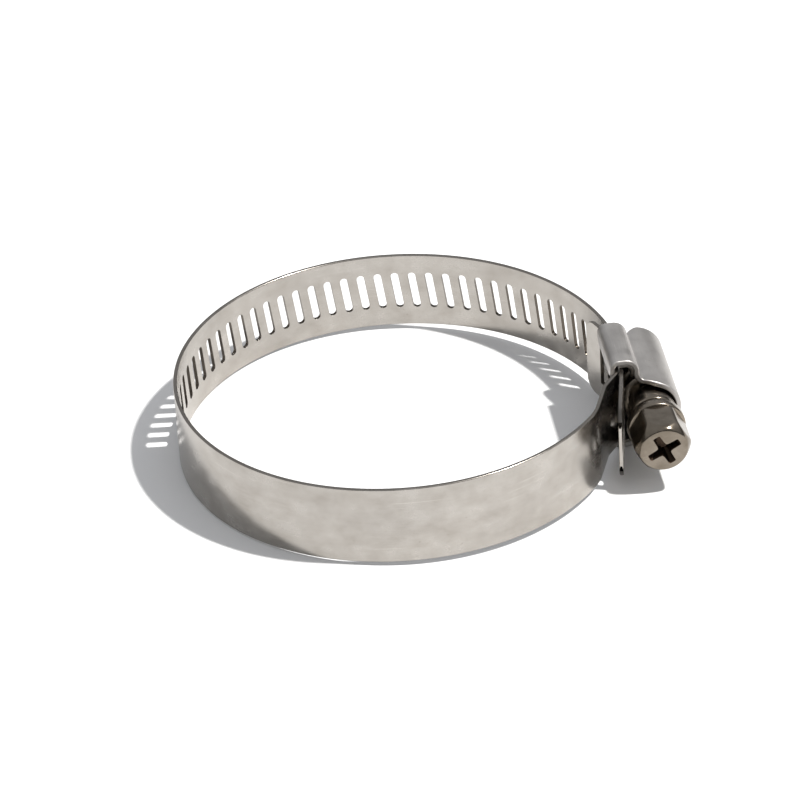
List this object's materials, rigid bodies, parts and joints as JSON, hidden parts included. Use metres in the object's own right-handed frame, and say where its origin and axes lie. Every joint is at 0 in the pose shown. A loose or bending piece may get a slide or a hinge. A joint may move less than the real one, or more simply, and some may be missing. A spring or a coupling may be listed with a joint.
{
  "type": "worm-drive hose clamp",
  "caption": "Perforated steel band clamp ring closed by a worm screw with a hexagonal cross-recess head, in a stamped housing.",
  "frame": {"origin": "on the axis of the hose bore, at mid-width of the band", "axes": "+Z along the hose, +X to the screw housing, screw parallel to Y with its head towards -Y"},
  "size_m": [0.0754, 0.0658, 0.0154],
  "materials": {
    "band_steel": "bright rolled stainless strip, lightly stained",
    "housing_steel": "satin stamped stainless sheet",
    "saddle_steel": "satin stamped sheet, darker inside the housing",
    "screw_steel": "nickel-plated steel, slightly brown in the recess"
  },
  "bodies": {
    "root": {"housing": "housing_steel", "saddle": "saddle_steel", "band_fixed_end": "band_steel"},
    "worm": {"worm_screw": "screw_steel"},
    "length_01": {"band_length_01": "band_steel"},
    "length_02": {"band_length_02": "band_steel"},
    "length_03": {"band_length_03": "band_steel"},
    "length_04": {"band_length_04": "band_steel"},
    "length_05": {"band_length_05": "band_steel"},
    "length_06": {"band_length_06": "band_steel"},
    "length_07": {"band_length_07": "band_steel"},
    "length_08": {"band_length_08": "band_steel"},
    "length_09": {"band_length_09": "band_steel"},
    "length_10": {"band_length_10": "band_steel"},
    "length_11": {"band_length_11": "band_steel"},
    "sliding": {"band_sliding_length": "band_steel"},
    "tail": {"band_tail": "band_steel"}
  },
  "joints": [
    {"name": "screw_turn", "type": "hinge", "parent": "root", "child": "worm", "pos_m": [0.03785, 0, 0], "axis": [0, 1, 0], "range_deg": [-720, 1800]},
    {"name": "band_slide", "type": "hinge", "parent": "root", "child": "sliding", "pos_m": [0.00056, -0.00139, 0], "axis": [0, 0, 1], "range_deg": [-22.89, 9.18]},
    {"name": "tail_flex", "type": "hinge", "parent": "sliding", "child": "tail", "pos_m": [0.03389, -0.00812, 0], "axis": [0, 0, 1], "range_deg": [-4.62, 11.47]},
    {"name": "flex_01", "type": "hinge", "parent": "root", "child": "length_01", "pos_m": [0.01997, -0.02652, 0], "axis": [0, 0, 1], "range_deg": [-2.86, 1.18]},
    {"name": "flex_02", "type": "hinge", "parent": "length_01", "child": "length_02", "pos_m": [0.00988, -0.03131, 0], "axis": [0, 0, 1], "range_deg": [-2.23, 0.92]},
    {"name": "flex_03", "type": "hinge", "parent": "length_02", "child": "length_03", "pos_m": [-0.00121, -0.03256, 0], "axis": [0, 0, 1], "range_deg": [-1.85, 0.77]},
    {"name": "flex_04", "type": "hinge", "parent": "length_03", "child": "length_04", "pos_m": [-0.01212, -0.03016, 0], "axis": [0, 0, 1], "range_deg": [-1.64, 0.68]},
    {"name": "flex_05", "type": "hinge", "parent": "length_04", "child": "length_05", "pos_m": [-0.02235, -0.02359, 0], "axis": [0, 0, 1], "range_deg": [-1.52, 0.64]},
    {"name": "flex_06", "type": "hinge", "parent": "length_05", "child": "length_06", "pos_m": [-0.03093, -0.00998, 0], "axis": [0, 0, 1], "range_deg": [-1.48, 0.62]},
    {"name": "flex_11", "type": "hinge", "parent": "sliding", "child": "length_11", "pos_m": [0.02527, 0.02196, 0], "axis": [0, 0, 1], "range_deg": [-1.2, 2.93]},
    {"name": "flex_10", "type": "hinge", "parent": "length_11", "child": "length_10", "pos_m": [0.01427, 0.02972, 0], "axis": [0, 0, 1], "range_deg": [-0.91, 2.2]},
    {"name": "flex_09", "type": "hinge", "parent": "length_10", "child": "length_09", "pos_m": [0.00112, 0.0326, 0], "axis": [0, 0, 1], "range_deg": [-0.74, 1.77]},
    {"name": "flex_08", "type": "hinge", "parent": "length_09", "child": "length_08", "pos_m": [-0.01212, 0.03016, 0], "axis": [0, 0, 1], "range_deg": [-0.65, 1.55]},
    {"name": "flex_07", "type": "hinge", "parent": "length_08", "child": "length_07", "pos_m": [-0.0251, 0.02065, 0], "axis": [0, 0, 1], "range_deg": [-0.62, 1.47]}
  ],
  "couplings": [
    {"joint": "band_slide", "follows": "screw_turn", "ratio": -0.012686},
    {"joint": "tail_flex", "follows": "screw_turn", "ratio": 0.006343},
    {"joint": "flex_01", "follows": "screw_turn", "ratio": -0.001562},
    {"joint": "flex_02", "follows": "screw_turn", "ratio": -0.001213},
    {"joint": "flex_03", "follows": "screw_turn", "ratio": -0.001},
    {"joint": "flex_04", "follows": "screw_turn", "ratio": -0.000881},
    {"joint": "flex_05", "follows": "screw_turn", "ratio": -0.000818},
    {"joint": "flex_06", "follows": "screw_turn", "ratio": -0.000794},
    {"joint": "flex_11", "follows": "screw_turn", "ratio": 0.0016},
    {"joint": "flex_10", "follows": "screw_turn", "ratio": 0.001194},
    {"joint": "flex_09", "follows": "screw_turn", "ratio": 0.000956},
    {"joint": "flex_08", "follows": "screw_turn", "ratio": 0.000836},
    {"joint": "flex_07", "follows": "screw_turn", "ratio": 0.00079}
  ]
}
